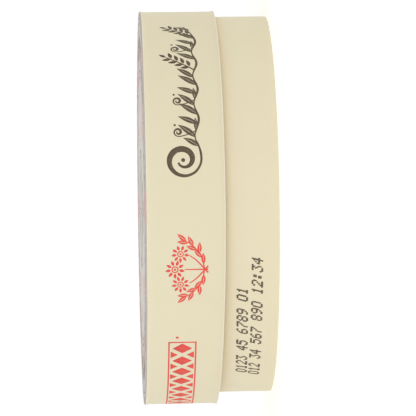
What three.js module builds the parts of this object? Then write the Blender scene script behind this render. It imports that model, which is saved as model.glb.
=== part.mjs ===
// A camembert in its round paperboard box, with the lid on.
//
// The cheese is wrapped in waxed paper and stands in the base. The base and the lid are each a
// strip of board bent into a hoop, with its ends lapped and glued at the back, and a round board
// disc glued inside it. The lid's disc rests on the rim of the base. A printed paper label covers
// the lid, and another lies in the recess under the base.
//
// Millimetres, +Z up. The origin is the middle of the underside, below the lid's centre. The box
// stands on the base hoop's lower rim at z = 0. -Y is the printed front, +Y the side of the laps.

import * as THREE from 'three';

// The cheese
const cheeseDiameter = 105.8;
const cheeseHeight = 29.5;
const cheeseEdgeRadius = 6; // round of the rind between side and faces

// The waxed paper round it
const wrapPaper = 0.4; // paper with its creases
const wrapFolds = 0.9; // the folds gathered under the cheese
const wrapGap = 0.3; // between paper and rind
const foldOpening = 28; // diameter left bare in the middle of the folds

// Board and paper of the box
const hoopBoard = 0.8;
const discBoard = 1.2;
const labelPaper = 0.25;

// The base
const wrapPlay = 0.7; // radial, between paper and base hoop
const headroom = 2.1; // between paper and lid
const footRecess = 0.8; // height of the base disc above the rim that the box stands on
const baseLabelMargin = 6; // from the base disc's edge in to its label

// The lid
const lidHoopHeight = 21.7;
const lidClearance = 0.65; // radial, between the lid and the outer end of the base hoop's lap
const lidDrift = 0.86; // how far the base stands off the lid's centre, inside that play
const rimFlare = 0.3; // how far the lid hoop's two rims stand out
const rimFlareHeight = 1.6;
const labelMargin = 0.3; // from the flared rim in to the lid label's edge

// Laps and fits
const lapLength = 24; // length of a hoop's outer end over its inner end
const lapRise = 10; // length over which the outer end steps out to lie on the inner end
const glueGap = 0.15; // between the two ends
const discGap = 0.3; // radial, between a disc and its hoop
const lidLapStart = 76; // degrees from +X to the inner end of the lid hoop
const baseLapStart = 98; // degrees from +X to the inner end of the base hoop

// Fineness of the round shapes
const hoopSegments = 96;
const wheelSegments = 60;
const edgeSegments = 4;

// Worked out from the above
const baseDiscTop = footRecess + discBoard;
const cheeseBottom = baseDiscTop + wrapFolds + wrapGap;
const cheeseTop = cheeseBottom + cheeseHeight;
const wrapTop = cheeseTop + wrapGap + wrapPaper;
const wrapRadius = cheeseDiameter / 2 + wrapGap + wrapPaper;
const baseHoopHeight = wrapTop + headroom;
const baseInnerRadius = wrapRadius + wrapPlay;
const baseOuterRadius = baseInnerRadius + hoopBoard;
const baseDiscRadius = baseInnerRadius - discGap;
const lidInnerRadius = baseOuterRadius + glueGap + hoopBoard + lidClearance;
const lidOuterRadius = lidInnerRadius + hoopBoard;
const lidTop = baseHoopHeight + discBoard;
const lidBottom = lidTop - lidHoopHeight;

const boardFinish = () => new THREE.MeshStandardMaterial({ color: 0xe6ddc0, roughness: 0.85 });
const insideFinish = () => new THREE.MeshStandardMaterial({ color: 0xcfc3a4, roughness: 0.9 });
const labelFinish = () => new THREE.MeshStandardMaterial({ color: 0xc8c2b8, roughness: 0.45 });
const waxedPaperFinish = () => new THREE.MeshStandardMaterial({ color: 0xf2efe6, roughness: 0.5 });
const rindFinish = () => new THREE.MeshStandardMaterial({ color: 0xf3eee0, roughness: 0.95 });

function piece(name, geometry, material) {
  const mesh = new THREE.Mesh(geometry, material);
  mesh.name = name;
  return mesh;
}

function smooth(t) {
  const s = Math.min(1, Math.max(0, t));
  return s * s * (3 - 2 * s);
}

// Plan of a hoop: a strip that runs once round and on over its own inner end.
function hoopPlan(innerRadius, lapStart) {
  const start = THREE.MathUtils.degToRad(lapStart);
  const rise = lapRise / innerRadius;
  const turn = 2 * Math.PI + lapLength / innerRadius;
  const count = Math.round((hoopSegments * turn) / (2 * Math.PI));
  const outside = [];
  const inside = [];
  for (let i = 0; i <= count; i += 1) {
    const along = (turn * i) / count;
    const stepOut = (hoopBoard + glueGap) * smooth((along - 2 * Math.PI + rise) / rise);
    const across = new THREE.Vector2(Math.cos(start + along), Math.sin(start + along));
    outside.push(across.clone().multiplyScalar(innerRadius + hoopBoard + stepOut));
    inside.push(across.clone().multiplyScalar(innerRadius + stepOut));
  }
  return new THREE.Shape([...outside, ...inside.reverse()]);
}

// A hoop between the first and the last level. A level is [height, flare], where flare is how far
// the wall leans out at that height.
function hoop(innerRadius, lapStart, levels) {
  const steps = levels.length - 1;
  const plan = hoopPlan(innerRadius, lapStart);
  const geometry = new THREE.ExtrudeGeometry(plan, { depth: steps, steps, bevelEnabled: false });
  const place = geometry.attributes.position;
  for (let i = 0; i < place.count; i += 1) {
    const [height, flare] = levels[Math.round(place.getZ(i))];
    const grow = 1 + flare / Math.hypot(place.getX(i), place.getY(i));
    place.setXYZ(i, place.getX(i) * grow, place.getY(i) * grow, height);
  }
  return geometry;
}

function disc(radius, bottom, top) {
  const outline = new THREE.Shape().absarc(0, 0, radius, 0, 2 * Math.PI);
  const geometry = new THREE.ExtrudeGeometry(outline, {
    depth: 1,
    curveSegments: hoopSegments,
    bevelEnabled: false,
  });
  const place = geometry.attributes.position;
  for (let i = 0; i < place.count; i += 1) {
    place.setZ(i, place.getZ(i) > 0.5 ? top : bottom);
  }
  return geometry;
}

// Half outline of a flat wheel with round edges, from innerRadius on the bottom to the axis on top.
function wheelProfile(radius, bottom, top, edge, innerRadius = 0) {
  const points = [new THREE.Vector2(innerRadius, bottom)];
  const corner = (height, from) => {
    for (let i = 0; i <= edgeSegments; i += 1) {
      const angle = from + (Math.PI / 2) * (i / edgeSegments);
      const out = radius - edge + edge * Math.cos(angle);
      points.push(new THREE.Vector2(out, height + edge * Math.sin(angle)));
    }
  };
  corner(bottom + edge, -Math.PI / 2);
  corner(top - edge, 0);
  points.push(new THREE.Vector2(0, top));
  return points;
}

function turned(profile) {
  return new THREE.LatheGeometry(profile, wheelSegments).rotateX(Math.PI / 2);
}

function cheeseWheel() {
  const outline = wheelProfile(cheeseDiameter / 2, cheeseBottom, cheeseTop, cheeseEdgeRadius);
  return piece('cheese_wheel', turned(outline), rindFinish());
}

// The paper lies over the top, down the side and in folds underneath, open in the middle.
function wrapper() {
  const opening = foldOpening / 2;
  const innerEdge = cheeseEdgeRadius + wrapGap;
  const outer = wheelProfile(wrapRadius, baseDiscTop, wrapTop, innerEdge + wrapPaper, opening);
  const inner = wheelProfile(
    wrapRadius - wrapPaper,
    cheeseBottom - wrapGap,
    cheeseTop + wrapGap,
    innerEdge,
    opening,
  );
  return piece('wrapper', turned([...inner.reverse(), ...outer]), waxedPaperFinish());
}

function baseHoop() {
  const levels = [
    [0, 0],
    [baseHoopHeight, 0],
  ];
  return piece('base_band', hoop(baseInnerRadius, baseLapStart, levels), boardFinish());
}

function baseDisc() {
  const geometry = disc(baseDiscRadius, footRecess, baseDiscTop);
  return piece('base_disc', geometry, insideFinish());
}

function baseLabel() {
  const geometry = disc(baseDiscRadius - baseLabelMargin, footRecess - labelPaper, footRecess);
  return piece('base_label', geometry, labelFinish());
}

function lidHoop() {
  const levels = [
    [lidBottom, rimFlare],
    [lidBottom + rimFlareHeight / 2, rimFlare * 0.3],
    [lidBottom + rimFlareHeight, 0],
    [lidTop - rimFlareHeight, 0],
    [lidTop - rimFlareHeight / 2, rimFlare * 0.3],
    [lidTop, rimFlare],
  ];
  return piece('lid_band', hoop(lidInnerRadius, lidLapStart, levels), boardFinish());
}

function lidDisc() {
  return piece('lid_disc', disc(lidInnerRadius - discGap, baseHoopHeight, lidTop), insideFinish());
}

function lidLabel() {
  const radius = lidOuterRadius + rimFlare - labelMargin;
  return piece('lid_label', disc(radius, lidTop, lidTop + labelPaper), labelFinish());
}

const base = new THREE.Group();
base.position.x = lidDrift;
base.add(baseHoop(), baseDisc(), baseLabel(), wrapper(), cheeseWheel());

const lid = new THREE.Group();
lid.add(lidHoop(), lidDisc(), lidLabel());

const camembert = new THREE.Group();
camembert.add(base, lid);

export default camembert;
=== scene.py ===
import math

import bmesh
import bpy
from mathutils import Matrix, Vector, noise


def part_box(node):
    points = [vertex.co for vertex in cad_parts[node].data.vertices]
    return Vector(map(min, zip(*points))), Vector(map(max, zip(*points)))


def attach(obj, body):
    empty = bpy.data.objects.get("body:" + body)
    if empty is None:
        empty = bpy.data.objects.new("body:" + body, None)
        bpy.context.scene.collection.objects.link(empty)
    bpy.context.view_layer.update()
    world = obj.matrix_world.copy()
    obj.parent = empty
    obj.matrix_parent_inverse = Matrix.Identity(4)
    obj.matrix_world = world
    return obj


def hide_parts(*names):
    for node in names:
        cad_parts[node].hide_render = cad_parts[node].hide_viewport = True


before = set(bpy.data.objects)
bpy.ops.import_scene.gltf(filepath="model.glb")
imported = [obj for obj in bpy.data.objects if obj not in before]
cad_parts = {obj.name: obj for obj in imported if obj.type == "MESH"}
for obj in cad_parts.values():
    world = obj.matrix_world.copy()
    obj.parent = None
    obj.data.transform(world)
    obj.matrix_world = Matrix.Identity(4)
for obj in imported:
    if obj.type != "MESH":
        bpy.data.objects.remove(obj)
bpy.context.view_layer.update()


# ----------------------------------------------------------------------------
# The table and the light
# The box stands on a plain white table that is lit from within, in a white tent that is
# brightest round its walls, with one soft lamp before it. The camera is turned on its side.

MM = 0.001
TABLE_REACH = 6.0  # half the table's width, in metres
TABLE_GLOW = 0.37  # strength of its own light
TENT_TOP = 0.57  # strength of the tent's light straight above
TENT_WALLS = 1.13  # how much stronger it is round the walls
TENT_FALL = 3.0  # how fast it falls off from the walls upwards


def node(tree, kind, inputs=None, **settings):
    """A new node; inputs maps its sockets to values, or to sockets that are linked to them."""
    made = tree.nodes.new(kind)
    for key, value in settings.items():
        setattr(made, key, value)
    for key, value in (inputs or {}).items():
        if isinstance(value, bpy.types.NodeSocket):
            tree.links.new(value, made.inputs[key])
        else:
            made.inputs[key].default_value = value
    return made


def maths(tree, how, *values):
    """The result of a Math node."""
    return node(tree, "ShaderNodeMath", dict(enumerate(values)), operation=how).outputs[0]


def mixed(tree, mask, first, second, how="MIX"):
    """The colour that goes from first to second as the mask goes from 0 to 1."""
    inputs = {0: mask, 6: first, 7: second}
    return node(tree, "ShaderNodeMix", inputs, data_type="RGBA", blend_type=how).outputs[2]


def speckle(tree, place, scale, detail):
    """Cloudy noise of 0 to 1; scale is in waves per metre."""
    inputs = {"Vector": place, "Scale": scale, "Detail": detail}
    return node(tree, "ShaderNodeTexNoise", inputs).outputs["Fac"]


def from_object(tree):
    """The place on the object, in metres."""
    return node(tree, "ShaderNodeTexCoord").outputs["Object"]


def finish(name, rough, gloss):
    """A new material with an even roughness and gloss: itself, its nodes and its shader."""
    material = bpy.data.materials.new(name)
    material.use_nodes = True
    tree = material.node_tree
    shader = tree.nodes["Principled BSDF"]
    shader.inputs["Roughness"].default_value = rough
    shader.inputs["Specular IOR Level"].default_value = gloss
    return material, tree, shader


def put_in_scene(thing):
    """Link an object into the scene and hand it back."""
    bpy.context.scene.collection.objects.link(thing)
    return thing


table_mesh = bpy.data.meshes.new("table")
table_shape = bmesh.new()
bmesh.ops.create_grid(table_shape, x_segments=8, y_segments=8, size=TABLE_REACH)
table_shape.to_mesh(table_mesh)
table_shape.free()
table = put_in_scene(bpy.data.objects.new("table", table_mesh))
table_white, tree, shader = finish("table_white", 0.9, 0.1)
clouds = speckle(tree, from_object(tree), 3.0, 2.0)
table_colour = mixed(tree, clouds, (0.93, 0.93, 0.93, 1.0), (0.95, 0.95, 0.95, 1.0))
tree.links.new(table_colour, shader.inputs["Base Color"])
shader.inputs["Emission Color"].default_value = (1.0, 1.0, 1.0, 1.0)
shader.inputs["Emission Strength"].default_value = TABLE_GLOW
table.data.materials.append(table_white)

tent = bpy.data.worlds.new("tent")
tent.use_nodes = True
tree = tent.node_tree
facing = node(tree, "ShaderNodeTexCoord").outputs["Generated"]
height = node(tree, "ShaderNodeSeparateXYZ", {"Vector": facing}).outputs["Z"]
level = maths(tree, "SUBTRACT", 1.0, maths(tree, "ABSOLUTE", height))
near_walls = maths(tree, "POWER", level, TENT_FALL)
strength = maths(tree, "MULTIPLY_ADD", near_walls, TENT_WALLS, TENT_TOP)
tree.links.new(strength, tree.nodes["Background"].inputs["Strength"])
tree.nodes["Background"].inputs["Color"].default_value = (1.0, 1.0, 1.0, 1.0)
bpy.context.scene.world = tent

lamp = bpy.data.lights.new("soft_lamp", "AREA")
lamp.shape = "DISK"
lamp.size = 0.9
lamp.energy = 2.0
soft_lamp = put_in_scene(bpy.data.objects.new("soft_lamp", lamp))
soft_lamp.location = (-0.35, -1.04, 0.45)
soft_lamp.rotation_euler = (-soft_lamp.location).to_track_quat("-Z", "Y").to_euler()

view = bpy.data.cameras.new("view")
view.sensor_width = 36.0
view.lens = 236.98
camera = put_in_scene(bpy.data.objects.new("view", view))
camera_place = (-0.0002, -0.8051, 0.05265)
look_down = 0.04385  # radians below level
lean = -0.0138  # radians off a quarter turn
ahead = Vector((0.0, math.cos(look_down), -math.sin(look_down)))
down = Vector((0.0, -math.sin(look_down), -math.cos(look_down)))
aside = Vector((1.0, 0.0, 0.0))
picture_right = down * math.cos(lean) + aside * math.sin(lean)
picture_up = aside * math.cos(lean) - down * math.sin(lean)
turned = Matrix((picture_right, picture_up, -ahead)).transposed().to_4x4()
camera.matrix_world = Matrix.Translation(camera_place) @ turned
bpy.context.scene.camera = camera
bpy.context.scene.view_settings.view_transform = "Standard"


# ----------------------------------------------------------------------------
# The cheese
# A wheel of soft cow's milk cheese, about 250 g, ripened under a white bloom. Its faces keep
# the ridges of the mat that it drained on, where the bloom has worn to tan.

RIND_EDGE = 6.0  # round of the rind between side and faces
MAT_PITCH = 5.2  # from one ridge of the mat to the next
MAT_DEPTH = 0.28  # of the grooves between its ridges
FACE_SAG = 0.3  # how far the faces sink in places
SIDE_DENT = 0.3  # how far the side is dented in places


def linear(red, green, blue):
    """A screen colour of 0 to 255 as the linear colour that a shader takes."""
    parts = [value / 255 for value in (red, green, blue)]
    parts = [p / 12.92 if p <= 0.04045 else ((p + 0.055) / 1.055) ** 2.4 for p in parts]
    return (*parts, 1.0)


def stretch(tree, value, low, high, bottom=0.0, top=1.0):
    """A value that runs from low to high, laid out from bottom to top."""
    inputs = {"Value": value, 1: low, 2: high, 3: bottom, 4: top}
    return node(tree, "ShaderNodeMapRange", inputs).outputs[0]


def roughen(tree, shader, height, strength, depth):
    """Raise the surface by a height of 0 to 1; depth is in millimetres."""
    inputs = {"Height": height, "Strength": strength, "Distance": depth * MM}
    bump = node(tree, "ShaderNodeBump", inputs).outputs[0]
    tree.links.new(bump, shader.inputs["Normal"])


def round_room(name):
    """Middle along X, radius, bottom and top of a round CAD node, in millimetres."""
    low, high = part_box(name)
    return (low.x + high.x) / 2 / MM, (high.x - low.x) / 2 / MM, low.z / MM, high.z / MM


def ripple(size, x, y, z):
    """Smooth noise of -1 to 1 with waves of about the size given, in millimetres."""
    return max(-1.0, min(1.0, 1.7 * noise.noise(Vector((x, y, z)) / size)))


def loft(name, rings, ends):
    """A closed skin over rings of points in millimetres; its ends are capped or fanned."""
    shape = bmesh.new()
    rows = [[shape.verts.new(Vector(point) * MM) for point in ring] for ring in rings]
    for one, two in zip(rows, rows[1:]):
        for i in range(len(one)):
            j = (i + 1) % len(one)
            shape.faces.new((one[i], one[j], two[j], two[i]))
    for row in (rows[0], rows[-1]):
        if ends == "capped":
            shape.faces.new(row)
        else:
            hub = shape.verts.new(sum((vert.co for vert in row), Vector()) / len(row))
            for i in range(len(row)):
                shape.faces.new((hub, row[i], row[(i + 1) % len(row)]))
    bmesh.ops.recalc_face_normals(shape, faces=shape.faces)
    mesh = bpy.data.meshes.new(name)
    shape.to_mesh(mesh)
    shape.free()
    mesh.shade_smooth()
    mesh.set_sharp_from_angle(angle=math.radians(50))
    return put_in_scene(bpy.data.objects.new(name, mesh))


def wheel_outline(radius, bottom, top, edge, corner_steps, face_steps):
    """Half outline of a wheel with round edges, from its middle below to its middle above."""
    flat = radius - edge
    points = [(flat * i / face_steps, bottom) for i in range(1, face_steps)]
    for i in range(corner_steps + 1):
        turn = math.pi / 2 * i / corner_steps
        points.append((flat + edge * math.sin(turn), bottom + edge * (1 - math.cos(turn))))
    for i in range(corner_steps + 1):
        turn = math.pi / 2 * i / corner_steps
        points.append((flat + edge * math.cos(turn), top - edge * (1 - math.sin(turn))))
    points += [(flat * i / face_steps, top) for i in range(face_steps - 1, 0, -1)]
    return points


def turned_rings(middle, outline, count, shift):
    """Rings for a half outline; shift(angle, out, level, x, y) moves each point in and up."""
    rings = []
    for out, level in outline:
        ring = []
        for i in range(count):
            angle = 2 * math.pi * i / count
            x, y = math.cos(angle), math.sin(angle)
            inwards, rise = shift(angle, out, level, x * out, y * out)
            ring.append((middle + x * (out - inwards), y * (out - inwards), level + rise))
        rings.append(ring)
    return rings


def cheese():
    """The wheel, uneven all over, with the mat's ridges across both faces."""
    middle, radius, bottom, top = round_room("cheese_wheel")
    centre = (bottom + top) / 2

    def shift(angle, out, level, x, y):
        face = abs(level - centre) / (top - centre)
        ridge = 0.5 - 0.5 * math.sin(2 * math.pi * y / MAT_PITCH)
        hollow = MAT_DEPTH * ridge + FACE_SAG * (0.5 + 0.5 * ripple(6.0, x, y, level))
        dent = SIDE_DENT * (0.5 + 0.5 * ripple(9.0, x, y, level))
        return dent * (out / radius) ** 4, -math.copysign(hollow * face**6, level - centre)

    outline = wheel_outline(radius, bottom, top, RIND_EDGE, corner_steps=8, face_steps=34)
    rings = turned_rings(middle, outline, count=200, shift=shift)
    return loft("ripened_cheese", rings, "fanned")


ripened_cheese = cheese()
bloomy_rind, tree, shader = finish("bloomy_rind", 0.95, 0.2)
place = from_object(tree)
fuzz = speckle(tree, place, 2600.0, 5.0)
bloom = mixed(tree, fuzz, linear(244, 239, 226), linear(252, 249, 242))
across = node(tree, "ShaderNodeSeparateXYZ", {"Vector": place}).outputs["Y"]
ridges = maths(tree, "SINE", maths(tree, "MULTIPLY", across, 2 * math.pi / (MAT_PITCH * MM)))
worn = maths(tree, "ADD", speckle(tree, place, 140.0, 4.0), maths(tree, "MULTIPLY", ridges, 0.07))
worn = stretch(tree, worn, 0.54, 0.74)
tree.links.new(mixed(tree, worn, bloom, linear(224, 202, 162)), shader.inputs["Base Color"])
roughen(tree, shader, fuzz, 0.6, 0.3)
shader.inputs["Subsurface Weight"].default_value = 0.15
shader.inputs["Subsurface Scale"].default_value = 0.003
shader.inputs["Sheen Weight"].default_value = 0.25
ripened_cheese.data.materials.append(bloomy_rind)
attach(ripened_cheese, "root")
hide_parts("cheese_wheel")


# ----------------------------------------------------------------------------
# The waxed paper
# One sheet of thin waxed paper, laid over the cheese and drawn down its side, then gathered in
# pleats underneath that leave the middle bare. It is creased all over where it was pressed on.

SHEET = 0.14  # thickness of the paper
SHEET_EDGE = RIND_EDGE + 0.7  # round of the paper between side and faces
SLACK = 0.22  # how far a crease sinks
CREASE_PITCH = 11.0  # about, from crease to crease
OPENING = 14.0  # radius left bare underneath
PLEATS = 30
PLEAT_DEPTH = 0.72  # height between the folds and the hollows of the pleats
PLEAT_SLOPE = 0.8  # share of a pleat's width that slopes up
PLEAT_BACK = 0.2  # share that folds back
PLEAT_STRAY = 0.15  # share by which a pleat wanders aside
PLEAT_PULL = 0.15  # how far the pleats draw the side in at its foot
PLEAT_FADE = 12  # height up the side over which they die out


def facet(size, x, y, z):
    """0 on a crease to 1 inside a facet of paper that was pressed by hand."""
    near = noise.voronoi(Vector((x, y, z)) / size)[0]
    return min(1.0, 2.2 * (near[1] - near[0]))


def waxed_paper():
    """The sheet: its outside from the top down to the bare middle, and its inside back up."""
    middle, radius, bottom, top = round_room("wrapper")
    outline = [(OPENING, bottom)]
    skin = wheel_outline(radius, bottom, top, SHEET_EDGE, corner_steps=7, face_steps=22)
    for out, level in skin:
        if out > OPENING or level > bottom:
            outline.append((out, level))

    def folded(inset):
        def shift(angle, out, level, x, y):
            stray = PLEAT_STRAY * ripple(9.0, x, y, 1.0)
            pleat = (angle * PLEATS / (2 * math.pi) + stray) % 1.0
            fold = pleat / PLEAT_SLOPE if pleat < PLEAT_SLOPE else (1 - pleat) / PLEAT_BACK
            if level == bottom:
                return 0.0, PLEAT_DEPTH * fold + inset
            sunk = SLACK * (1 - facet(CREASE_PITCH, x, y, level)) + inset
            if level == top:
                return 0.0, -sunk
            low = max(0.0, 1 - (level - bottom) / PLEAT_FADE)
            return min(SLACK + inset, sunk + PLEAT_PULL * low * (1 - fold)), 0.0

        return turned_rings(middle, outline, count=420, shift=shift)

    return loft("waxed_sheet", folded(0.0)[::-1] + folded(SHEET), "fanned")


waxed_sheet = waxed_paper()
waxed, tree, shader = finish("waxed_paper", 0.45, 0.5)
place = from_object(tree)
smears = speckle(tree, place, 90.0, 5.0)
wax = mixed(tree, smears, linear(238, 234, 222), linear(249, 247, 240))
tree.links.new(wax, shader.inputs["Base Color"])
tree.links.new(stretch(tree, smears, 0.3, 0.7, 0.32, 0.55), shader.inputs["Roughness"])
cells = {"Vector": place, "Scale": 115.0}
creases = node(tree, "ShaderNodeTexVoronoi", cells, feature="DISTANCE_TO_EDGE").outputs[0]
waves = maths(tree, "MULTIPLY", smears, 0.6)
creases = maths(tree, "ADD", stretch(tree, creases, 0.0, 0.12), waves)
roughen(tree, shader, creases, 0.8, 0.25)
shader.inputs["Coat Weight"].default_value = 0.25
shader.inputs["Coat Roughness"].default_value = 0.3
waxed_sheet.data.materials.append(waxed)
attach(waxed_sheet, "root")
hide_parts("wrapper")


# ----------------------------------------------------------------------------
# The base's hoop
# A strip of board, cream-coated on its outside and bare on its inside and cut edges. It is bent
# into a hoop, and its outer end steps out and is glued over the inner end at the back.

BOARD = 0.8  # thickness of the hoops
SOFT_EDGE = 0.16  # round of a cut edge
EDGE_HOLLOW = 0.02  # how far a cut edge is hollow in its middle
INNER_DROP = 0.01  # how far the upper edge falls to its inner corner
COATED_FROM = 0.85  # share of the thickness, from the inside, where the coat starts
DEEPEST_NICK = 0.05  # in the rims
BLUNT_END = 0.07  # share of the thickness that both corners of an end lose
BLUNT_REACH = 0.08  # how far from the end that starts, in steps of about a degree
LAP_LENGTH = 24.0  # length of the outer end over the inner end
LAP_RISE = 10.0  # length over which the outer end steps out
LAP_STEP = 0.95  # how far it steps out: the board and a film of glue
RIM_REACH = 1.6  # height over which a flared rim leans out
BASE_LAP = 98.0  # degrees from +X to the inner end
WHOLE_TURN = 360.0


def new_group(name, inputs, outputs):
    """A shader node group, with the sockets of its inputs and the node of its outputs."""
    tree = bpy.data.node_groups.new(name, "ShaderNodeTree")
    for label, kind, value in inputs:
        socket = tree.interface.new_socket(label, in_out="INPUT", socket_type="NodeSocket" + kind)
        socket.default_value = value
    for label, kind in outputs:
        tree.interface.new_socket(label, in_out="OUTPUT", socket_type="NodeSocket" + kind)
    return tree, tree.nodes.new("NodeGroupInput").outputs, tree.nodes.new("NodeGroupOutput").inputs


def placed(tree, group, **inputs):
    """The outputs of a node group placed in a material, with its own inputs."""
    made = node(tree, "ShaderNodeGroup", node_tree=group)
    for label, value in inputs.items():
        socket = made.inputs[label.replace("_", " ").title()]
        if isinstance(value, bpy.types.NodeSocket):
            tree.links.new(value, socket)
        else:
            socket.default_value = value
    return made.outputs


def pulp_fibres():
    """Group: the felted fibres of board or paper, as a mask and as a height."""
    inputs = [("Place", "Vector", (0.0, 0.0, 0.0)), ("Width", "Float", 0.0002)]
    tree, given, result = new_group("pulp_fibres", inputs, [("Mask", "Float"), ("Height", "Float")])
    per_metre = maths(tree, "DIVIDE", 1.0, given["Width"])
    height = 0.0
    for squeeze, share in (((0.16, 1.0, 1.0), 0.65), ((1.0, 0.3, 0.3), 0.35)):
        inputs = {"Vector": given["Place"], "Scale": squeeze}
        drawn = node(tree, "ShaderNodeMapping", inputs).outputs[0]
        height = maths(tree, "MULTIPLY_ADD", speckle(tree, drawn, per_metre, 4.0), share, height)
    tree.links.new(height, result["Height"])
    tree.links.new(stretch(tree, height, 0.35, 0.65), result["Mask"])
    return tree


def rim_wear_and_highlight():
    """Group: where a cut rim is crushed and worn pale, with a painted highlight, from the distance
    to it in mm.
    """
    inputs = [
        ("Place", "Vector", (0.0, 0.0, 0.0)),
        ("Distance", "Float", 0.0),
        ("Reach", "Float", 0.3),
    ]
    tree, given, result = new_group("rim_wear_and_highlight", inputs, [("Mask", "Float")])
    patchy = maths(tree, "MULTIPLY_ADD", speckle(tree, given["Place"], 420.0, 3.0), 1.6, 0.2)
    reach = maths(tree, "MULTIPLY", given["Reach"], patchy)
    tree.links.new(stretch(tree, given["Distance"], reach, 0.0), result["Mask"])
    return tree


fibres = pulp_fibres()
# the pale worn rims, together with a painted highlight along them
rim_wear_and_highlight_group = rim_wear_and_highlight()


def coated_board(name, shade, deeper, rim_wear_and_highlight_colour, rim_wear_and_highlight_reach, painted_bounce_heights):
    """Cream-coated board, worn pale at its rims, with a painted highlight along them.

    Over a band of heights in mm the coat is painted warmer and a little brighter, and stays so
    above it: painted warm bounce light that lifts the shade under the lid's rim.
    """
    material, tree, shader = finish(name, 0.6, 0.15)
    strip = node(tree, "ShaderNodeAttribute", attribute_name="strip").outputs["Vector"]
    to_rim = node(tree, "ShaderNodeAttribute", attribute_name="to_rim").outputs["Fac"]
    weave = placed(tree, fibres, place=strip, width=0.00025)
    # pale wear and a painted highlight along the rims
    worn = placed(tree, rim_wear_and_highlight_group, place=strip, distance=to_rim, reach=rim_wear_and_highlight_reach)
    coat = mixed(tree, speckle(tree, strip, 75.0, 3.0), shade, deeper)
    height = node(tree, "ShaderNodeSeparateXYZ", {"Vector": strip}).outputs["Y"]
    # painted warm bounce light: over the given heights the coat is tinted warmer and brighter,
    # where the lid's rim shades it
    painted_bounce = stretch(tree, height, painted_bounce_heights[0] * MM, painted_bounce_heights[1] * MM)
    coat = mixed(tree, painted_bounce, coat, (1.06, 1.0, 0.92, 1.0), "MULTIPLY")
    thin_coat = maths(tree, "MULTIPLY", weave["Mask"], 0.12)
    coat = mixed(tree, thin_coat, coat, (1.0, 0.96, 0.85, 1.0), "MULTIPLY")
    tree.links.new(mixed(tree, worn["Mask"], coat, rim_wear_and_highlight_colour), shader.inputs["Base Color"])
    tree.links.new(stretch(tree, weave["Mask"], 0.0, 1.0, 0.55, 0.68), shader.inputs["Roughness"])
    roughen(tree, shader, weave["Height"], 0.2, 0.06)
    return material


def bare_board(name, shade, darker):
    """The uncoated face and cut edges of board: greyish pulp with dark fibres and specks."""
    material, tree, shader = finish(name, 0.9, 0.2)
    place = from_object(tree)
    weave = placed(tree, fibres, place=place, width=0.0003)
    specks = stretch(tree, speckle(tree, place, 900.0, 2.0), 0.64, 0.72)
    pulp = mixed(tree, weave["Mask"], darker, shade)
    tree.links.new(mixed(tree, specks, pulp, linear(140, 118, 88)), shader.inputs["Base Color"])
    roughen(tree, shader, weave["Height"], 0.5, 0.15)
    return material


def hoop_wall(outer, bottom, top, flare, sway, seed):
    """The radius of a hoop's outside by angle from +X and height; its lower rim sways most."""

    def radius(angle, height):
        to_rim = min(height - bottom, top - height)
        leaning = flare * max(0.0, 1 - to_rim / RIM_REACH) ** 2
        wave = 0.5 + 0.5 * ripple(0.8, math.cos(angle), math.sin(angle), seed)
        return outer + leaning - sway * wave * (0.3 + 0.7 * (top - height) / (top - bottom))

    return radius


def strip_section(bottom, top, levels):
    """Outline of a strip's cut end: (share of the thickness from the inside, height)."""
    reach = top - bottom - 2 * SOFT_EDGE
    heights = [bottom + SOFT_EDGE + reach * level for level in levels]
    rounds = []
    for corner in (25, 50, 75, 90):
        bend = math.radians(corner)
        share = 1 - SOFT_EDGE * (1 - math.cos(bend)) / BOARD
        rounds.append((share, SOFT_EDGE * (1 - math.sin(bend))))
    section = [(1.0, height) for height in heights]
    section += [(share, top - drop) for share, drop in rounds]
    section += [(0.5, top - EDGE_HOLLOW), (SOFT_EDGE / BOARD, top - INNER_DROP)]
    section += [(0.0, height) for height in reversed(heights)]
    section += [(SOFT_EDGE / BOARD, bottom), (0.5, bottom + EDGE_HOLLOW)]
    section += [(share, bottom + drop) for share, drop in reversed(rounds)]
    return section


def board_hoop(name, middle, bottom, top, wall, askew, lap_start, levels, coated, bare):
    """A strip with soft cut edges, wound once round and on over its own inner end.

    The lower rim was cut (arch, tilt) askew: it runs up to both sides, and more to one of them.
    """
    inner_radius = wall(0.0, (bottom + top) / 2) - BOARD
    turn = WHOLE_TURN + math.degrees(LAP_LENGTH / inner_radius)
    rise = math.degrees(LAP_RISE / inner_radius)
    count = round(turn)
    rings = []
    strip = []
    for station in [0.0, BLUNT_REACH, *range(1, count), count - BLUNT_REACH, float(count)]:
        along = turn * station / count
        angle = math.radians(lap_start + along)
        share = min(1.0, max(0.0, (along - WHOLE_TURN + rise) / rise))
        step_out = LAP_STEP * share * share * (3 - 2 * share)
        blunt = BLUNT_END if station in (0.0, float(count)) else 0.0
        roughness = ripple(2.5, 9 * math.cos(angle), 9 * math.sin(angle), top)
        nick = DEEPEST_NICK * max(0.0, roughness)
        sideways = math.cos(angle)
        lifted = max(0.0, askew[0] * sideways**2 - askew[1] * sideways)
        ring = []
        for across, height in strip_section(bottom, top, levels):
            across = min(1 - blunt, max(blunt, across))
            out = wall(angle, height) + step_out - BOARD * (1 - across)
            height = min(top - nick, max(bottom + nick / 2, height))
            level = height + lifted * (top - height) / (top - bottom)
            ring.append((middle + out * math.cos(angle), out * math.sin(angle), level))
            strip.append((math.radians(along) * out * MM, height * MM, across * BOARD * MM))
        rings.append(ring)
    hoop = loft(name, rings, "capped")
    mesh = hoop.data
    where = mesh.attributes.new("strip", "FLOAT_VECTOR", "POINT")
    where.data.foreach_set("vector", [value for point in strip for value in point])
    to_rim = mesh.attributes.new("to_rim", "FLOAT", "POINT")
    to_rim.data.foreach_set("value", [min(p[1] / MM - bottom, top - p[1] / MM) for p in strip])
    mesh.materials.append(coated)
    mesh.materials.append(bare)
    for face in mesh.polygons:
        depth = min(strip[index][2] for index in face.vertices)
        face.material_index = 1 if depth < COATED_FROM * BOARD * MM else 0
    return hoop


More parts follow.
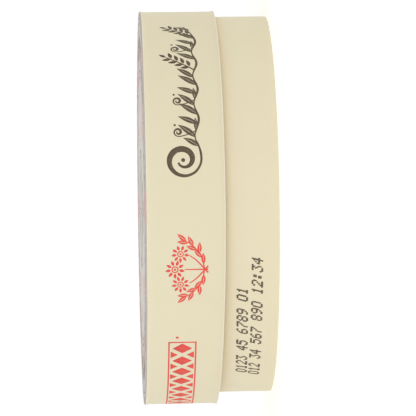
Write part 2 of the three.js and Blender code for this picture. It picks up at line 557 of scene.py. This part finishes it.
base_middle, base_outer, base_bottom, base_top = round_room("base_band")
base_wall = hoop_wall(base_outer, base_bottom, base_top, flare=0.0, sway=0.08, seed=3.0)
base_cream = coated_board(
    "base_cream_board",
    shade=linear(224, 215, 187),
    deeper=linear(221, 212, 183),
    # colour of the worn rim together with its painted highlight
    rim_wear_and_highlight_colour=linear(230, 224, 206),
    rim_wear_and_highlight_reach=0.2,
    # the band of painted warm bounce light, just under the lid's rim
    painted_bounce_heights=(12.6, 15.2),
)
bare = bare_board("bare_board", linear(196, 178, 142), linear(170, 150, 116))
base_hoop = board_hoop(
    "base_hoop",
    base_middle,
    base_bottom,
    base_top,
    base_wall,
    askew=(0.0, 0.0),
    lap_start=BASE_LAP,
    levels=[i / 12 for i in range(13)],
    coated=base_cream,
    bare=bare,
)
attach(base_hoop, "root")
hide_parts("base_band")


# ----------------------------------------------------------------------------
# The base's disc
# A round of bare board, pressed into the hoop a little above its lower rim and glued there. The
# die that cut it left its edge slightly rolled and rough.

DISC_EDGE = 0.25  # roll of the cut edge
RAGGED = 0.04  # how far that edge falls short in places


def board_disc(name, cad_name, dish):
    """A disc of board whose two faces sink by dish in the middle."""
    middle, radius, bottom, top = round_room(cad_name)

    def shift(angle, out, level, x, y):
        ragged = RAGGED * (0.5 + 0.5 * ripple(3.0, x, y, 5.0)) * (out / radius) ** 8
        sink = dish * (1 - (out / radius) ** 2)
        return ragged, -sink if level > (bottom + top) / 2 else sink

    outline = wheel_outline(radius, bottom, top, DISC_EDGE, corner_steps=3, face_steps=16)
    return loft(name, turned_rings(middle, outline, count=240, shift=shift), "fanned")


base_round = board_disc("base_round", "base_disc", dish=0.05)
base_round.data.materials.append(bare)
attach(base_round, "root")
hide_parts("base_disc")


# ----------------------------------------------------------------------------
# The details label under the base
# A thin round of white paper glued in the recess, printed with two rings and with ruled lines
# for the maker's details, which are left blank.

PRESSED = 0.03  # how far a label's printed side lies inside its CAD node
PAPER_EDGE = 0.05  # round of a label's cut edge
BLISTER = 0.012  # height of the blisters that the glue leaves
GROOVE_WIDTH = 0.45  # of a groove in a label
NO_GROOVE = (60.0, 0.0)  # beyond the paper, and of no depth
PROUD = 0.015  # how far a film of ink stands off what it is printed on
FILM = 0.02  # thickness of that film
FILM_STEP = 0.0015  # how much further out each next shape of a print lies
FILM_STEPS = 6  # number of such steps before they start again
HAIRLINE = 0.02  # width of the thinnest stroke
RULE = 0.35  # width of a ruled line
STAMP_RULE = 0.6  # width of the lines round the place for a stamp


def printed_band():
    """Group: a printed band between two radii."""
    inputs = [("Radius", "Float", 0.0), ("Start", "Float", 0.0), ("End", "Float", 1.0)]
    tree, given, result = new_group("printed_band", inputs, [("Mask", "Float")])
    beyond = maths(tree, "GREATER_THAN", given["Radius"], given["Start"])
    within = maths(tree, "LESS_THAN", given["Radius"], given["End"])
    tree.links.new(maths(tree, "MULTIPLY", beyond, within), result["Mask"])
    return tree


def ink_marks():
    """Group: the colour of printed ink, with thin places and pinholes that show what is under."""
    inputs = [
        ("Ink", "Color", (0.0, 0.0, 0.0, 1.0)),
        ("Under", "Color", (1.0, 1.0, 1.0, 1.0)),
        ("Thinness", "Float", 0.2),
    ]
    tree, given, result = new_group("ink_marks", inputs, [("Color", "Color")])
    place = from_object(tree)
    thin = maths(tree, "MULTIPLY", speckle(tree, place, 260.0, 3.0), given["Thinness"])
    hole = stretch(tree, speckle(tree, place, 3800.0, 2.0), 0.66, 0.74, 0.0, 0.6)
    bared = maths(tree, "MAXIMUM", thin, hole)
    tree.links.new(mixed(tree, bared, given["Ink"], given["Under"]), result["Color"])
    return tree


band_print = printed_band()
ink_colour = ink_marks()


def paper_round(name, cad_name, printed_side, groove):
    """A round of paper with a few blisters, and a groove of (radius, depth), on one side."""
    middle, radius, bottom, top = round_room(cad_name)

    def shift(angle, out, level, x, y):
        blister = BLISTER * max(0.0, ripple(8.0, x, y, radius))
        dip = groove[1] * math.exp(-(((out - groove[0]) / GROOVE_WIDTH) ** 2))
        sunk = dip + PRESSED - blister
        on_top = level > (bottom + top) / 2
        if on_top != (printed_side > 0):
            return 0.0, 0.0
        return 0.0, -printed_side * sunk

    outline = wheel_outline(radius, bottom, top, PAPER_EDGE, corner_steps=2, face_steps=40)
    return loft(name, turned_rings(middle, outline, count=288, shift=shift), "fanned")


def printing_paper(name, middle, ground, deeper, bands, rough):
    """Printing paper with rings printed on it: bands are (start, end, colour), radii in mm."""
    material, tree, shader = finish(name, rough, 0.08)
    place = from_object(tree)
    inputs = {0: place, 1: (1.0, 1.0, 0.0), 2: (-middle * MM, 0.0, 0.0)}
    flat = node(tree, "ShaderNodeVectorMath", inputs, operation="MULTIPLY_ADD").outputs[0]
    radius = node(tree, "ShaderNodeVectorMath", {0: flat}, operation="LENGTH").outputs["Value"]
    radius = maths(tree, "MULTIPLY_ADD", speckle(tree, place, 3000.0, 2.0), 0.08 * MM, radius)
    weave = placed(tree, fibres, place=place, width=0.00015)
    colour = mixed(tree, speckle(tree, place, 45.0, 3.0), ground, deeper)
    for start, end, shade in bands:
        band = placed(tree, band_print, radius=radius, start=start * MM, end=end * MM)
        colour = mixed(tree, band["Mask"], colour, shade)
    fibre = maths(tree, "MULTIPLY", weave["Mask"], 0.1)
    colour = mixed(tree, fibre, colour, (0.94, 0.93, 0.9, 1.0), "MULTIPLY")
    tree.links.new(colour, shader.inputs["Base Color"])
    roughness = stretch(tree, weave["Mask"], 0.0, 1.0, rough - 0.05, rough + 0.05)
    tree.links.new(roughness, shader.inputs["Roughness"])
    roughen(tree, shader, weave["Height"], 0.15, 0.05)
    return material


def ink(name, shade, under, thinness):
    """The finish of a print: ink of a shade on what is under it."""
    material, tree, shader = finish(name, 0.6, 0.15)
    marks = placed(tree, ink_colour, ink=shade, under=under, thinness=thinness)
    tree.links.new(marks["Color"], shader.inputs["Base Color"])
    return material


def printed(name, layouts, material):
    """A film of ink: flat shapes of points and faces, each laid by lay(along, up, proud)."""
    film = bmesh.new()
    for shapes, lay in layouts:
        for order, (points, faces) in enumerate(shapes):
            proud = PROUD + FILM_STEP * (order % FILM_STEPS)
            verts = [film.verts.new(Vector(lay(along, up, proud)) * MM) for along, up in points]
            for face in faces:
                film.faces.new([verts[index] for index in face])
    mesh = bpy.data.meshes.new(name)
    film.to_mesh(mesh)
    film.free()
    mesh.shade_smooth()
    mesh.materials.append(material)
    piece = put_in_scene(bpy.data.objects.new(name, mesh))
    body = piece.modifiers.new("film", "SOLIDIFY")
    body.thickness = FILM * MM
    body.offset = -1.0
    return piece


def pen_stroke(knots, steps=8):
    """A pen's line drawn smoothly through knots of (along, up, width)."""
    last = len(knots) - 1
    track = []
    for k in range(last):
        a, b, c, d = (knots[max(0, min(last, k + n))] for n in (-1, 0, 1, 2))
        for i in range(steps):
            t = i / steps
            track.append(
                [
                    b[n]
                    + 0.5 * t * (c[n] - a[n])
                    + t * t * (a[n] - 2.5 * b[n] + 2 * c[n] - 0.5 * d[n])
                    + 0.5 * t**3 * (3 * b[n] - a[n] - 3 * c[n] + d[n])
                    for n in range(3)
                ]
            )
    track.append(list(knots[-1]))
    points = []
    for i, (along, up, width) in enumerate(track):
        before, after = track[max(0, i - 1)], track[min(len(track) - 1, i + 1)]
        run, rise = after[0] - before[0], after[1] - before[1]
        half = max(width, HAIRLINE) / 2 / (math.hypot(run, rise) or 1.0)
        points.append((along - rise * half, up + run * half))
        points.append((along + rise * half, up - run * half))
    faces = [(2 * i + 1, 2 * i + 3, 2 * i + 2, 2 * i) for i in range(len(track) - 1)]
    return points, faces


def under_base(along, up, proud):
    """Lay a print on the details label, which is read from below."""
    return base_middle + along, -up, details_bottom + PRESSED - proud


def ruled_lines():
    """Nine blank lines that keep inside the rings, and over them an empty box for a stamp."""
    first, pitch = 14.0, 5.2
    longest, ring = 32.0, 38.0
    shapes = []
    for line in range(9):
        up = first - pitch * line
        half = min(longest, math.sqrt(ring**2 - up**2))
        shapes.append(pen_stroke([(-half, up, RULE), (half, up, RULE)]))
    side, low, high = 20.0, 19.0, 31.0
    for up in (low, high):
        shapes.append(pen_stroke([(-side, up, STAMP_RULE), (side, up, STAMP_RULE)]))
    low -= STAMP_RULE / 2
    high += STAMP_RULE / 2
    for along in (-side, side):
        shapes.append(pen_stroke([(along, low, STAMP_RULE), (along, high, STAMP_RULE)]))
    return shapes


details_bottom = round_room("base_label")[2]
details_label = paper_round("details_label", "base_label", printed_side=-1, groove=NO_GROOVE)
details_ground = linear(240, 237, 228)
details_brown = linear(100, 85, 75)
details_bands = [(44.6, 45.2, details_brown), (42.9, 43.2, linear(226, 88, 82))]
details_paper = printing_paper(
    "details_paper", base_middle, details_ground, linear(234, 230, 219), details_bands, rough=0.6
)
details_label.data.materials.append(details_paper)
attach(details_label, "root")
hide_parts("base_label")
details_ink = ink("details_ink", details_brown, details_ground, thinness=0.2)
details_print = printed("details_print", [(ruled_lines(), under_base)], details_ink)
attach(details_print, "root")


# ----------------------------------------------------------------------------
# The date marks on the base
# Two rows of running numbers, jetted in dark dots on the front of the base as it passes the
# printer. The rows lean, because the box moves on while each column is fired.

SLANT = 0.32  # how far a number leans along for each millimetre up
NUMBER_WIDTH = 6.3  # from one number to the next, in columns of dots
DOT_SIZE = 0.72  # half a dot's width and height, in columns and rows
DOT_UNEVEN = 0.15  # how much a dot's size varies
DOTS = {  # each number from its top row to its lowest, a row's five dots as binary digits
    "0": (14, 17, 17, 17, 17, 17, 14),
    "1": (4, 12, 4, 4, 4, 4, 14),
    "2": (14, 17, 1, 2, 4, 8, 31),
    "3": (31, 2, 4, 2, 1, 17, 14),
    "4": (2, 6, 10, 18, 31, 2, 2),
    "5": (31, 16, 30, 1, 1, 17, 14),
    "6": (6, 8, 16, 30, 17, 17, 14),
    "7": (31, 1, 2, 4, 8, 8, 8),
    "8": (14, 17, 17, 14, 17, 17, 14),
    "9": (14, 17, 17, 15, 1, 2, 12),
    ":": (0, 12, 12, 0, 12, 12, 0),
    " ": (0, 0, 0, 0, 0, 0, 0),
}


def on_hoop(wall, middle, start, level, slope=0.0):
    """Lay a flat print on a hoop from an angle in degrees, measured from the front to +X."""

    def lay(along, up, proud):
        height = level + slope * along + up
        angle = math.radians(start - 90.0)
        angle += along / wall(angle, height)
        out = wall(angle, height) + proud
        return middle + out * math.cos(angle), out * math.sin(angle), height

    return lay


def dot(along, up, wide, high=None):
    """A round or oval dot of half width and half height."""
    rim = [math.pi * k / 6 for k in range(12)]
    points = [(along + wide * math.cos(a), up + (high or wide) * math.sin(a)) for a in rim]
    return points, [tuple(range(12))]


def dotted_row(numbers, pitch, rise):
    """Jetted dots for a row of numbers; the dots run together up each column."""
    shapes = []
    column = pitch / NUMBER_WIDTH
    row = rise / 7
    for place, number in enumerate(numbers):
        for line, bits in enumerate(DOTS[number]):
            for bit in range(5):
                if bits >> (4 - bit) & 1:
                    up = (6.5 - line) * row
                    along = place * pitch + bit * column + SLANT * up
                    uneven = noise.noise(Vector((along, up, 0.7 * place)))
                    swell = DOT_SIZE + DOT_UNEVEN * uneven
                    shapes.append(dot(along, up, swell * column, swell * row))
    return shapes


jet_ink = ink("jet_ink", linear(77, 61, 53), linear(220, 210, 180), thinness=0.25)
upper_row = dotted_row("0123 45 6789 01", pitch=2.29, rise=3.1)
lower_row = dotted_row("012 34 567 890 12:34", pitch=2.23, rise=3.1)
date_rows = [
    (upper_row, on_hoop(base_wall, base_middle, start=-60.5, level=8.2, slope=0.0175)),
    (lower_row, on_hoop(base_wall, base_middle, start=-62.0, level=4.65)),
]
date_marks = printed("date_marks", date_rows, jet_ink)
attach(date_marks, "root")


# ----------------------------------------------------------------------------
# The lid's hoop
# A strip of the same coated board, lapped and glued at the back. Both its rims stand out a
# little, where the strip was cut and the disc was pressed in, and the lower one is worn pale.
# A painted highlight runs along both rims.

LID_FLARE = 0.3  # how far the rims stand out
LID_LAP = 76.0  # degrees from +X to the inner end
LID_ASKEW = (0.6, 0.25)  # arch and tilt of the lower rim
NO_PAINTED_BOUNCE = (60.0, 61.0)  # higher than the box, so that the lid's coat gets no painted bounce light and has one shade

lid_middle, lid_rim, lid_bottom, lid_top = round_room("lid_band")
lid_outer = lid_rim - LID_FLARE
lid_wall = hoop_wall(lid_outer, lid_bottom, lid_top, flare=LID_FLARE, sway=0.09, seed=8.0)
lid_cream = coated_board(
    "lid_cream_board",
    shade=linear(221, 212, 185),
    deeper=linear(219, 210, 181),
    # colour of the worn rim together with its painted highlight
    rim_wear_and_highlight_colour=linear(230, 225, 208),
    rim_wear_and_highlight_reach=0.45,
    painted_bounce_heights=NO_PAINTED_BOUNCE,
)
near_rim = [0.0, 0.012, 0.025, 0.04, 0.06]
lid_levels = near_rim + [i / 12 for i in range(1, 12)] + [1 - level for level in near_rim[::-1]]
lid_hoop = board_hoop(
    "lid_hoop",
    lid_middle,
    lid_bottom,
    lid_top,
    lid_wall,
    askew=LID_ASKEW,
    lap_start=LID_LAP,
    levels=lid_levels,
    coated=lid_cream,
    bare=bare,
)
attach(lid_hoop, "root")
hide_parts("lid_band")


# ----------------------------------------------------------------------------
# The lid's disc
# A second round of bare board, pressed into the top of the hoop and glued there. It rests on
# the base's rim and is covered by the label.

lid_round = board_disc("lid_round", "lid_disc", dish=0.03)
lid_round.data.materials.append(bare)
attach(lid_round, "root")
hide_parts("lid_disc")


# ----------------------------------------------------------------------------
# The lid's label
# A round of printed paper glued over the disc and the hoop's upper rim. It sinks a little into
# the gap between the two, and is printed with rings, daisies, sprigs and a cut cheese.

GAP_RADIUS = 56.75  # where the gap between disc and hoop is
GAP_DIP = 0.05  # how far the paper sinks there


def leaf(along, up, length, lean, width, bend=0.0, vein=0.0):
    """A pointed leaf from its stalk, leaning by degrees from level; a vein leaves a gap."""
    turn = math.radians(lean)
    shapes = []
    for half in (-1, 1) if vein else (0,):
        knots = []
        for share, full in ((0, 0.04), (0.2, 0.7), (0.45, 1.0), (0.7, 0.75), (1, 0.04)):
            broad = width * full / (2 if vein else 1)
            out = share * length
            off = bend * math.sin(math.pi * share) + half * (broad + vein * full) / 2
            x = along + out * math.cos(turn) - off * math.sin(turn)
            knots.append((x, up + out * math.sin(turn) + off * math.cos(turn), broad))
        shapes.append(pen_stroke(knots, 4))
    return shapes


def arc(along, up, radius, first, last, width):
    """A drawn arc of even width, from one angle to another in degrees."""
    count = max(6, round(abs(last - first) / 12))
    knots = []
    for i in range(count + 1):
        angle = math.radians(first + (last - first) * i / count)
        knots.append((along + radius * math.cos(angle), up + radius * math.sin(angle), width))
    return pen_stroke(knots, 4)


def daisy(along, up, size, petals, tilt=0.0):
    """A daisy seen from the front: pointed petals round a ring with a dot in it."""
    shapes = [arc(along, up, 0.3 * size, 0, WHOLE_TURN, 0.12 * size), dot(along, up, 0.12 * size)]
    heart = 0.42 * size
    for i in range(petals):
        lean = tilt + WHOLE_TURN * i / petals
        x, y = heart * math.cos(math.radians(lean)), heart * math.sin(math.radians(lean))
        shapes += leaf(along + x, up + y, size - heart, lean, 2.7 * size / petals)
    return shapes


def sprig():
    """Leaves fanned out to both sides of a short bowed stalk."""
    shapes = [pen_stroke([(-5.4, 1.5, 0.3), (0.0, -1.2, 0.5), (5.4, 1.5, 0.3)])]
    for hand, straight in ((-1, 180), (1, 0)):
        for start, lean, length, width in (
            (0.6, 74, 4.6, 1.7),
            (2.6, 48, 4.6, 1.7),
            (4.4, 22, 4.6, 1.7),
            (1.4, -36, 3.6, 1.3),
        ):
            up = -0.9 if lean < 0 else 0.35 * start - 0.6
            shapes += leaf(hand * start, up, length, straight + hand * lean, width, vein=0.2)
    return shapes


def cut_cheese():
    """A cheese seen from above, with one slice drawn out."""
    wheel, inner, half = 17.0, 15.3, 26
    foot, slice_foot = -2.0, 6.5
    first, last = 90 + half, 450 - half
    shapes = [arc(0, foot, wheel, first, last, 0.9), arc(0, foot, inner, first + 2, last - 2, 0.35)]
    first, last = 90 - half, 90 + half
    shapes.append(arc(0, slice_foot, wheel, first, last, 0.9))
    shapes.append(arc(0, slice_foot, inner, first + 3, last - 3, 0.35))
    for lean in (first, last):
        x, y = wheel * math.cos(math.radians(lean)), wheel * math.sin(math.radians(lean))
        for start in (foot, slice_foot):
            shapes.append(pen_stroke([(0, start, 0.7), (x, start + y, 0.7)]))
    for x, y, size in ((-1.6, 9.0, 0.6), (1.7, 12.0, 0.8), (-1.5, 14.1, 0.45), (0.3, 6.6, 0.4)):
        shapes.append(dot(x, slice_foot + y, size))
    for turn in range(150, 391, 30):
        x, y = math.cos(math.radians(turn)), math.sin(math.radians(turn))
        stroke = ((6, 0.15), (10, 0.45), (13, 0.15))
        shapes.append(pen_stroke([(out * x, out * y + foot, width) for out, width in stroke]))
    return shapes


def on_label(turn, radius):
    """Lay a print on the label: its middle at a radius, its upright pointing outwards."""
    x, y = math.cos(math.radians(turn)), math.sin(math.radians(turn))

    def lay(along, up, proud):
        out = radius + up
        return lid_middle + out * x + along * y, out * y - along * x, label_top - PRESSED + proud

    return lay


label_top = round_room("lid_label")[3]
label_ground = linear(226, 222, 216)
label_red = linear(238, 160, 153)
ring_brown = linear(135, 116, 103)
label_bands = [
    (55.6, 58.0, linear(199, 194, 189)),
    (54.0, 54.4, ring_brown),
    (40.2, 40.6, ring_brown),
    (0.0, 38.8, linear(237, 233, 225)),
    (38.2, 38.8, label_red),
]
label_paper = printing_paper(
    "label_paper", lid_middle, label_ground, linear(221, 217, 210), label_bands, rough=0.72
)
lid_groove = (GAP_RADIUS, GAP_DIP)
lid_label = paper_round("lid_label_paper", "lid_label", printed_side=1, groove=lid_groove)
lid_label.data.materials.append(label_paper)
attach(lid_label, "root")
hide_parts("lid_label")

large_daisy = daisy(0, 0, size=5.4, petals=12)
small_daisy = daisy(0, 0, size=3.2, petals=9)
flowers = [(large_daisy, on_label(turn, 47.3)) for turn in range(0, 360, 30)]
flowers += [(small_daisy, on_label(turn, 31.0)) for turn in range(0, 360, 45)]
label_red_ink = ink("label_red", label_red, label_ground, thinness=0.25)
label_flowers = printed("label_flowers", flowers, label_red_ink)
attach(label_flowers, "root")
sprigs = [(sprig(), on_label(turn, 47.0)) for turn in range(15, 360, 30)]
sprigs.append((cut_cheese(), on_label(-90, 0.0)))
label_brown_ink = ink("label_brown", linear(139, 121, 108), label_ground, thinness=0.25)
label_sprigs = printed("label_sprigs", sprigs, label_brown_ink)
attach(label_sprigs, "root")


# ----------------------------------------------------------------------------
# The flourish on the lid's hoop
# A vine in brown ink, printed on the front and again round the side, and drawn as with a broad
# pen: a curled shoot, then leaves that lean like strokes, tendrils and two tall sprays.


def curl(along, up, start, end, first, turns, thin, thick, lead=()):
    """A tendril that runs through lead and winds in round (along, up), swelling on its way."""
    knots = list(lead)
    count = max(8, round(abs(turns) * 10))
    for i in range(count + 1):
        share = i / count
        radius = start + (end - start) * share
        angle = math.radians(first + WHOLE_TURN * turns * share)
        width = thin + (thick - thin) * math.sin(math.pi * share) ** 2
        knots.append((along + radius * math.cos(angle), up + radius * math.sin(angle), width))
    return pen_stroke(knots, 4)


def vine():
    """The whole flourish, from its curled shoot at 0 to the tip of its stem."""
    lead = [(10.2, 1.1, 0.4), (7.4, 0.25, 0.6)]
    shoot = curl(
        5.1, 5.1, start=4.95, end=1.5, first=262, turns=-1.4, thin=0.6, thick=1.7, lead=lead
    )
    shapes = [shoot, dot(5.1, 5.1, 0.55)]
    stem = [(9.6, 0.9, 0.4)]
    for i in range(9):
        stem.append((12.2 + 4.9 * i, 0.5 if i % 2 else 1.7, 0.65 if i % 2 else 0.35))
    stem.append((55.8, 3.6, 0.2))
    shapes.append(pen_stroke(stem))
    for along, up, length, lean, broad in (
        (9.0, 0.6, 5.0, 60, 1.38),
        (11.6, 1.4, 6.2, 52, 1.55),
        (13.6, 1.4, 4.0, 2, 1.03),
        (15.6, 0.9, 5.8, 66, 1.46),
        (18.4, 0.6, 6.4, 55, 1.59),
        (21.4, 1.5, 6.0, 50, 1.5),
        (23.6, 1.5, 3.8, 4, 0.99),
        (25.2, 0.9, 5.8, 66, 1.46),
        (28.2, 0.6, 6.4, 55, 1.59),
        (31.0, 1.5, 5.8, 52, 1.46),
        (38.2, 0.6, 6.0, 62, 1.5),
        (41.4, 1.5, 6.0, 50, 1.46),
        (43.4, 1.5, 3.6, 4, 0.95),
        (45.2, 0.9, 5.6, 64, 1.38),
        (48.2, 0.6, 5.6, 56, 1.38),
        (53.4, 1.9, 4.4, 62, 1.07),
    ):
        shapes += leaf(along, up, length, lean, broad, bend=-0.12 * broad, vein=0.11)
    for along in (13.2, 22.9, 42.9):
        lead = [(along + 0.4, 1.4, 0.3), (along - 0.6, 3.4, 0.3), (along - 1.15, 5.2, 0.3)]
        tendril = curl(
            along, 6.3, start=1.25, end=0.3, first=180, turns=-1.35, thin=0.3, thick=0.7, lead=lead
        )
        shapes.append(tendril)
        shapes.append(dot(along + 2.1, 7.2, 0.33))
    for along, tall in ((34.2, 9.6), (49.9, 9.0)):
        run = 0.56 * tall
        middle = (along + run / 2, 0.55 * tall, 0.35)
        shapes.append(pen_stroke([(along - 0.4, 1.0, 0.45), middle, (along + run, tall, 0.2)]))
        for share in (0.2, 0.4, 0.6, 0.8):
            x, y = along + share * run, 0.8 + share * (tall - 1.2)
            shapes += leaf(x, y, 2.7, 100, 1.05, bend=0.1)
            shapes += leaf(x + 0.2, y, 2.6, 18, 1.05, bend=-0.1)
        shapes += leaf(along + run - 0.3, tall - 0.6, 2.2, 60, 0.95)
    return shapes


hoop_cream = linear(220, 211, 181)
brown_ink = ink("brown_ink", linear(79, 62, 47), hoop_cream, thinness=0.12)
vines = [(vine(), on_hoop(lid_wall, lid_middle, start, 21.3)) for start in (8.0, 98.0)]
vine_print = printed("vine_print", vines, brown_ink)
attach(vine_print, "root")


# ----------------------------------------------------------------------------
# The posies and the border on the lid's hoop
# A posy of daisies in red ink on the front and again at the back, and between them a border of
# lozenges inside thin rules, led by a small dot.

BORDER = 7.9  # height of the border
BORDER_RULE = 0.42  # width of the rules round it
LOZENGE_PITCH = 5.2  # about, from one lozenge to the next


def posy():
    """Three daisies on stalks that meet, between two leafy branches that bend up round them."""
    stems = [(-4.4, 1.5, 2.5), (0.0, 3.0, 2.7), (4.4, 1.5, 2.5)]
    shapes = []
    for along, up, size in stems:
        shapes += daisy(along, up, size, 9, tilt=20)
        foot = (-0.22 * along, -6.1, 0.45)
        knee = (0.55 * along, -3.1, 0.35)
        shapes.append(pen_stroke([(0.91 * along, up - size, 0.25), knee, foot]))
    for hand, straight in ((-1, 180), (1, 0)):
        branch = [(0.2, -5.1, 0.35), (3.8, -4.2, 0.35), (6.8, -1.8, 0.3), (8.4, 0.6, 0.15)]
        shapes.append(pen_stroke([(hand * along, up, width) for along, up, width in branch]))
        for along, up, lean in (
            (1.6, -4.9, 4),
            (3.4, -4.4, 44),
            (4.6, -3.7, -2),
            (5.6, -3.0, 70),
            (6.6, -2.0, 26),
            (7.6, -0.7, 86),
            (8.0, -0.1, 50),
        ):
            shapes += leaf(hand * along, up, 3.1, straight + hand * lean, 1.05, vein=0.14)
    return shapes


def panel(lower, upper, steps):
    """A flat shape between two broken lines with as many points."""
    points = []
    for k in range(len(lower) - 1):
        for i in range(steps + (k == len(lower) - 2)):
            t = i / steps
            for line in (lower, upper):
                (x0, y0), (x1, y1) = line[k], line[k + 1]
                points.append((x0 + (x1 - x0) * t, y0 + (y1 - y0) * t))
    faces = [(2 * i, 2 * i + 2, 2 * i + 3, 2 * i + 1) for i in range(len(points) // 2 - 1)]
    return points, faces


def kite(middle, reach, base, low, high, steps):
    """A panel that is pointed at both sides, at the height of base, and widest in the middle."""
    sides = [middle - reach, middle, middle + reach]
    lower = list(zip(sides, (base, low, base)))
    upper = list(zip(sides, (base + 0.01, high, base + 0.01)))
    return panel(lower, upper, steps)


def lozenge_border(length):
    """Lozenges with small ones between them along both rules, and the dot past their end."""
    pitch = length / round(length / LOZENGE_PITCH)
    shapes = [dot(length + 1.6, 5.4, 0.42)]
    for i in range(round(length / pitch)):
        start = i * pitch
        shapes.append(kite(start + pitch / 2, 0.37 * pitch, BORDER / 2, 1.2, BORDER - 1.2, 4))
        if i:
            shapes.append(kite(start, 0.26 * pitch, 0.7, 0.7, 2.75, 3))
            shapes.append(kite(start, 0.26 * pitch, BORDER - 0.71, BORDER - 2.75, BORDER - 0.7, 3))
    for low in (0.0, BORDER - BORDER_RULE):
        high = low + BORDER_RULE
        steps = round(length / 0.8)
        shapes.append(panel([(0.0, low), (length, low)], [(0.0, high), (length, high)], steps))
    for near in (0.0, length - BORDER_RULE):
        far = near + BORDER_RULE
        shapes.append(panel([(near, 0.0), (far, 0.0)], [(near, BORDER), (far, BORDER)], 1))
    return shapes


red_ink = ink("red_ink", linear(229, 75, 68), hoop_cream, thinness=0.1)
posies = [(posy(), on_hoop(lid_wall, lid_middle, start, 26.0)) for start in (-17.2, 212.0)]
posy_print = printed("posy_print", posies, red_ink)
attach(posy_print, "root")
border = [(lozenge_border(83.0), on_hoop(lid_wall, lid_middle, -123.3, 22.9))]
border_print = printed("border_print", border, red_ink)
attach(border_print, "root")
